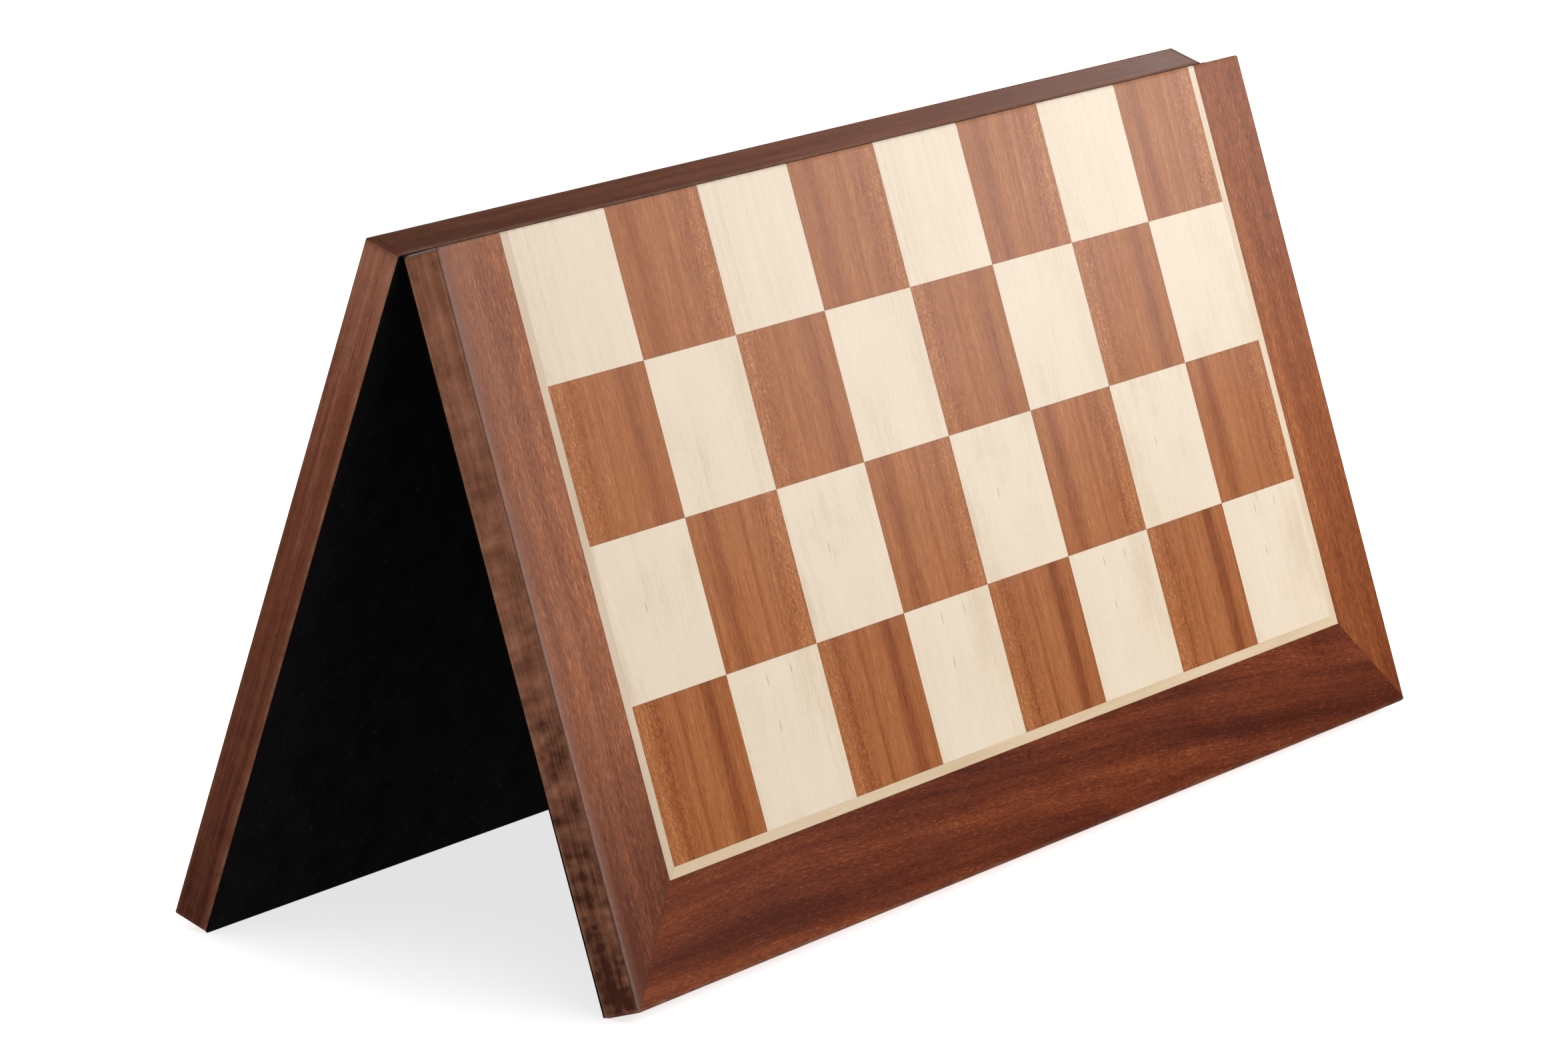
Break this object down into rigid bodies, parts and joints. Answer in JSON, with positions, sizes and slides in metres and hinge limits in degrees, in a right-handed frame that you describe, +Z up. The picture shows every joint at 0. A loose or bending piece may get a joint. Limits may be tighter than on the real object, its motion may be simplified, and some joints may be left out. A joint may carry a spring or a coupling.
{
  "type": "folding chess board",
  "caption": "Wooden chess board in two veneered leaves that fold on their cloth lining, standing half open like a tent on its free edges.",
  "frame": {"origin": "on the surface that the board stands on, under the middle of the fold", "axes": "+X along the fold from file a to file h, +Z up, the front leaf with ranks one to four faces -Y"},
  "size_m": [0.47, 0.1776, 0.2274],
  "materials": {
    "core_board": "raw fibre board, hidden",
    "backing_veneer": "plain sliced veneer, hidden under the lining",
    "edge_lipping": "red-brown hardwood, satin lacquer",
    "border_veneer": "red-brown mahogany-like veneer with short pores, satin lacquer",
    "stringing": "pale maple veneer, satin lacquer",
    "light_square": "pale maple veneer, satin lacquer",
    "dark_square": "orange-brown mahogany-like veneer with ribbon figure, satin lacquer",
    "lining_cloth": "black, dull"
  },
  "bodies": {
    "front_leaf": {"front_core": "core_board", "front_backing_veneer": "backing_veneer", "front_fold_lipping": "edge_lipping", "front_free_lipping": "edge_lipping", "front_free_border": "border_veneer", "front_free_stringing": "stringing", "front_lining": "lining_cloth", "front_left_lipping": "edge_lipping", "front_left_border": "border_veneer", "front_left_stringing": "stringing", "front_right_lipping": "edge_lipping", "front_right_border": "border_veneer", "front_right_stringing": "stringing", "rank_1_light_squares": "light_square", "rank_1_dark_squares": "dark_square", "rank_2_light_squares": "light_square", "rank_2_dark_squares": "dark_square", "rank_3_light_squares": "light_square", "rank_3_dark_squares": "dark_square", "rank_4_light_squares": "light_square", "rank_4_dark_squares": "dark_square", "lining_fold": "lining_cloth"},
    "rear_leaf": {"rear_core": "core_board", "rear_backing_veneer": "backing_veneer", "rear_fold_lipping": "edge_lipping", "rear_free_lipping": "edge_lipping", "rear_free_border": "border_veneer", "rear_free_stringing": "stringing", "rear_lining": "lining_cloth", "rear_left_lipping": "edge_lipping", "rear_left_border": "border_veneer", "rear_left_stringing": "stringing", "rear_right_lipping": "edge_lipping", "rear_right_border": "border_veneer", "rear_right_stringing": "stringing", "rank_5_light_squares": "light_square", "rank_5_dark_squares": "dark_square", "rank_6_light_squares": "light_square", "rank_6_dark_squares": "dark_square", "rank_7_light_squares": "light_square", "rank_7_dark_squares": "dark_square", "rank_8_light_squares": "light_square", "rank_8_dark_squares": "dark_square"}
  },
  "joints": [
    {"name": "fold", "type": "hinge", "parent": "front_leaf", "child": "rear_leaf", "pos_m": [0, 0, 0.22328], "axis": [1, 0, 0], "range_deg": [-37.4, 142.6], "deforming": ["lining_fold"]}
  ]
}
